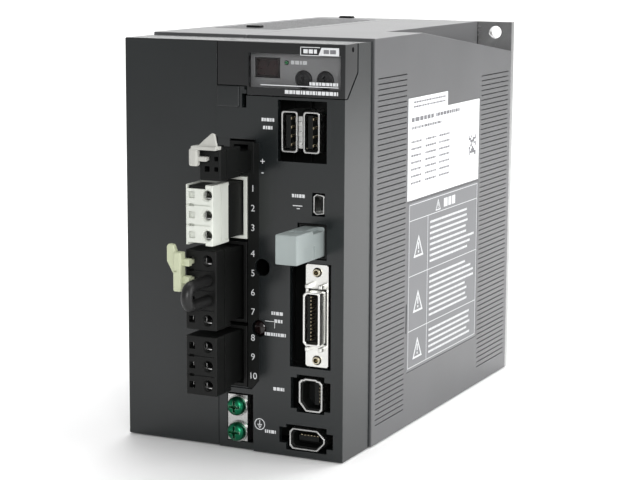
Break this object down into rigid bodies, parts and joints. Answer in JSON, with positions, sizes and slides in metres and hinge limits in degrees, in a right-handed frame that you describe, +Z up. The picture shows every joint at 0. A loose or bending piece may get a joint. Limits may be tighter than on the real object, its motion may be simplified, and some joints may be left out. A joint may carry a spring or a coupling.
{
  "type": "servo drive",
  "caption": "Panel-mounted servo motor drive: louvred box with a display, plug-in power terminals, signal sockets, heat sink and fan.",
  "frame": {"origin": "middle of the part's footprint, at the height of the casing's underside", "axes": "+X to the right seen from the front, +Y backwards towards the mounting plate, +Z up"},
  "size_m": [0.091, 0.207, 0.15],
  "materials": {
    "aluminium": "bare extruded aluminium",
    "black_plastic": "black connector nylon",
    "board_green": "green solder resist",
    "brass": "turned brass",
    "bright_steel": "bright plated steel",
    "bypass_grey": "light grey plug moulding",
    "capacitor_sleeve": "dark blue shrink sleeve",
    "case_plastic": "fine matt dark grey moulding",
    "dial_grey": "dark grey dial",
    "display_red": "dark red display face",
    "front_plastic": "satin near-black moulding",
    "green_screw": "green passivated screw",
    "label_grey": "grey printed label",
    "label_white": "white printed label",
    "lamp_green": "dark green lens",
    "lamp_red": "dark red lens",
    "lever_grey": "pale grey nylon",
    "lever_ivory": "ivory nylon",
    "module_grey": "dark grey moulding compound",
    "panel_grey": "matt dark grey panel",
    "plated_zinc": "bright plated zinc casting",
    "plug_grey": "black plug nylon, slightly worn",
    "smoke_plastic": "glossy smoke-black cover",
    "white_nylon": "off-white plug nylon",
    "wire_black": "black insulation"
  },
  "bodies": {
    "drive": {"capacitor_lower": "capacitor_sleeve", "capacitor_upper": "capacitor_sleeve", "charge_lamp": "lamp_red", "control_board": "board_green", "control_power_header": "black_plastic", "earth_plate": "bright_steel", "encoder_socket": "bright_steel", "encoder_socket_insert": "black_plastic", "fan_frame": "black_plastic", "front_cover": "front_plastic", "front_left_panel": "front_plastic", "heatsink": "aluminium", "hinge_pin_left": "bright_steel", "hinge_pin_right": "bright_steel", "io_bracket": "plated_zinc", "io_contact_block": "black_plastic", "io_insert_lower": "brass", "io_insert_upper": "brass", "io_shell": "plated_zinc", "left_housing": "case_plastic", "mains_header": "white_nylon", "monitor_header": "black_plastic", "motor_header": "plug_grey", "network_socket_left": "bright_steel", "network_socket_right": "bright_steel", "network_tongue_left": "black_plastic", "network_tongue_right": "black_plastic", "operator_panel": "panel_grey", "plate_screw_lower": "bright_steel", "plate_screw_upper": "bright_steel", "power_board": "board_green", "power_module": "module_grey", "rating_label": "label_white", "rear_plate": "bright_steel", "regen_header": "plug_grey", "right_housing": "case_plastic", "rotary_switch_ones_body": "black_plastic", "rotary_switch_tens_body": "black_plastic", "safety_socket": "black_plastic", "scale_socket": "bright_steel", "scale_socket_insert": "black_plastic", "segment_display": "display_red", "status_led": "lamp_green", "transformer": "module_grey", "usb_mini_socket": "bright_steel", "warning_label": "label_grey"},
    "display_cover": {"display_cover": "smoke_plastic"},
    "rotary_dial_tens": {"rotary_dial_tens": "dial_grey"},
    "rotary_dial_ones": {"rotary_dial_ones": "dial_grey"},
    "safety_bypass_plug": {"safety_bypass_plug": "bypass_grey"},
    "control_power_plug": {"control_power_plug": "black_plastic"},
    "control_power_lever": {"control_power_lever": "lever_grey"},
    "mains_plug": {"mains_plug": "white_nylon"},
    "regen_plug": {"regen_plug": "plug_grey", "jumper_wire": "wire_black"},
    "regen_lever": {"regen_lever": "lever_ivory"},
    "motor_plug": {"motor_plug": "plug_grey"},
    "earth_screw_upper": {"earth_screw_upper": "green_screw"},
    "earth_screw_lower": {"earth_screw_lower": "green_screw"},
    "fan_rotor": {"fan_rotor": "black_plastic"}
  },
  "joints": [
    {"name": "display_cover_hinge", "type": "hinge", "parent": "drive", "child": "display_cover", "pos_m": [0, -0.05998, 0.147], "axis": [-1, 0, 0], "range_deg": [0, 100]},
    {"name": "rotary_dial_tens_turn", "type": "hinge", "parent": "drive", "child": "rotary_dial_tens", "pos_m": [0.0269, -0.06148, 0.136], "axis": [0, 1, 0], "continuous": true},
    {"name": "rotary_dial_ones_turn", "type": "hinge", "parent": "drive", "child": "rotary_dial_ones", "pos_m": [0.0353, -0.06148, 0.136], "axis": [0, 1, 0], "continuous": true},
    {"name": "safety_bypass_plug_pull", "type": "slide", "parent": "drive", "child": "safety_bypass_plug", "axis": [0, -1, 0], "range_m": [0, 0.018]},
    {"name": "control_power_plug_pull", "type": "slide", "parent": "drive", "child": "control_power_plug", "axis": [0, -1, 0], "range_m": [0, 0.016]},
    {"name": "control_power_lever_pull", "type": "slide", "parent": "control_power_plug", "child": "control_power_lever", "axis": [0, -1, 0], "range_m": [0, 0.01]},
    {"name": "mains_plug_pull", "type": "slide", "parent": "drive", "child": "mains_plug", "axis": [0, -1, 0], "range_m": [0, 0.018]},
    {"name": "regen_plug_pull", "type": "slide", "parent": "drive", "child": "regen_plug", "axis": [0, -1, 0], "range_m": [0, 0.018]},
    {"name": "regen_lever_pull", "type": "slide", "parent": "regen_plug", "child": "regen_lever", "axis": [0, -1, 0], "range_m": [0, 0.01]},
    {"name": "motor_plug_pull", "type": "slide", "parent": "drive", "child": "motor_plug", "axis": [0, -1, 0], "range_m": [0, 0.018]},
    {"name": "earth_screw_upper_turn", "type": "hinge", "parent": "drive", "child": "earth_screw_upper", "pos_m": [0.0023, -0.06648, 0.0163], "axis": [0, 1, 0], "continuous": true},
    {"name": "earth_screw_lower_turn", "type": "hinge", "parent": "drive", "child": "earth_screw_lower", "pos_m": [0.0023, -0.06648, 0.0067], "axis": [0, 1, 0], "continuous": true},
    {"name": "fan_rotor_spin", "type": "hinge", "parent": "drive", "child": "fan_rotor", "pos_m": [-0.0232, -0.02048, 0.01], "axis": [0, 0, 1], "continuous": true}
  ]
}
